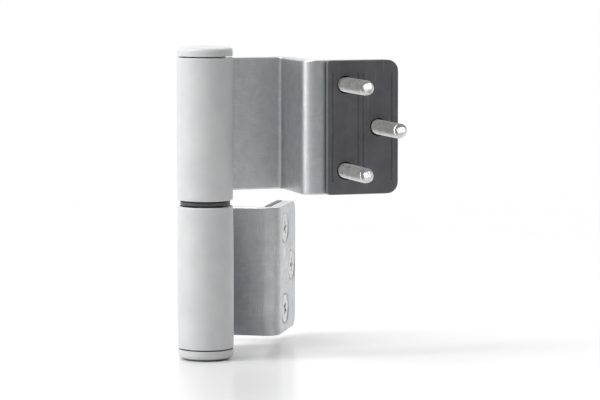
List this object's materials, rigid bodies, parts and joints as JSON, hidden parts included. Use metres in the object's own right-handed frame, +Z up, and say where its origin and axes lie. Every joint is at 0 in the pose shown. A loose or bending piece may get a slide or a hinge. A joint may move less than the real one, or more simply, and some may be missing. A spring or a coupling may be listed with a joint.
{
  "type": "lift-off barrel hinge",
  "caption": "Lift-off barrel hinge for a lipped plastic casement: pinned lower knuckle, height-adjustable upper knuckle, cranked leaves, slotted plastic covers.",
  "frame": {"origin": "on the outer face of the frame packer, the face that lies on the window frame's reveal, half way up the frame leaf", "axes": "+Z up along the hinge pin, -X out of the frame mounting face into the frame, +Y away from the room"},
  "size_m": [0.066, 0.0682, 0.083],
  "materials": {
    "zinc_plate": "satin zinc plating",
    "pin_steel": "ground steel, lightly greased",
    "ball_steel": "polished bearing steel",
    "screw_steel": "bright zinc-plated steel",
    "cover_plastic": "satin light grey-white moulded plastic",
    "packer_plastic": "dark grey moulded plastic",
    "bush_plastic": "dark grey acetal, lightly greased"
  },
  "bodies": {
    "frame_side": {"frame_leaf": "zinc_plate", "frame_packer": "packer_plastic", "frame_screw_1": "screw_steel", "frame_screw_2": "screw_steel", "frame_screw_3": "screw_steel", "hinge_pin": "pin_steel"},
    "thrust_ring": {"thrust_washer": "bush_plastic"},
    "thrust_stack": {"thrust_ball": "ball_steel", "thrust_pad": "bush_plastic"},
    "height_screw": {"height_screw": "screw_steel"},
    "sash_side": {"sash_leaf": "zinc_plate", "sash_packer": "packer_plastic", "sash_screw_1": "screw_steel", "sash_screw_2": "screw_steel", "sash_screw_3": "screw_steel", "lower_bush": "bush_plastic", "upper_bush": "bush_plastic"},
    "upper_sleeve": {"upper_sleeve": "cover_plastic"},
    "upper_cap": {"upper_cap": "cover_plastic"},
    "lower_sleeve": {"lower_sleeve": "cover_plastic"},
    "lower_cap": {"lower_cap": "cover_plastic"},
    "pin_lock_screw": {"pin_lock_screw": "screw_steel"}
  },
  "joints": [
    {"name": "sash_swing", "type": "hinge", "parent": "frame_side", "child": "thrust_ring", "pos_m": [-0.0105, -0.034, 0.0207], "axis": [0, 0, -1], "range_deg": [-61, 119]},
    {"name": "lift_off", "type": "slide", "parent": "thrust_ring", "child": "thrust_stack", "axis": [0, 0, 1], "range_m": [0, 0.025]},
    {"name": "height_adjust", "type": "slide", "parent": "thrust_stack", "child": "sash_side", "axis": [0, 0, 1], "range_m": [0, 0.004]},
    {"name": "height_screw_turn", "type": "hinge", "parent": "thrust_stack", "child": "height_screw", "pos_m": [-0.0105, -0.034, 0.0518], "axis": [0, 0, -1], "range_deg": [0, 1153]},
    {"name": "upper_sleeve_pull", "type": "slide", "parent": "sash_side", "child": "upper_sleeve", "axis": [0, 0, 1], "range_m": [0, 0.04]},
    {"name": "upper_cap_pull", "type": "slide", "parent": "upper_sleeve", "child": "upper_cap", "axis": [0, 0, 1], "range_m": [0, 0.01]},
    {"name": "lower_sleeve_pull", "type": "slide", "parent": "frame_side", "child": "lower_sleeve", "axis": [0, 0, -1], "range_m": [0, 0.04]},
    {"name": "lower_cap_pull", "type": "slide", "parent": "lower_sleeve", "child": "lower_cap", "axis": [0, 0, -1], "range_m": [0, 0.01]},
    {"name": "pin_lock_turn", "type": "hinge", "parent": "frame_side", "child": "pin_lock_screw", "pos_m": [-0.0105, -0.039, 0.0027], "axis": [0, -1, 0], "range_deg": [0, 360]}
  ],
  "couplings": [
    {"joint": "height_screw_turn", "follows": "height_adjust", "rad_per_m": 5026.5}
  ]
}
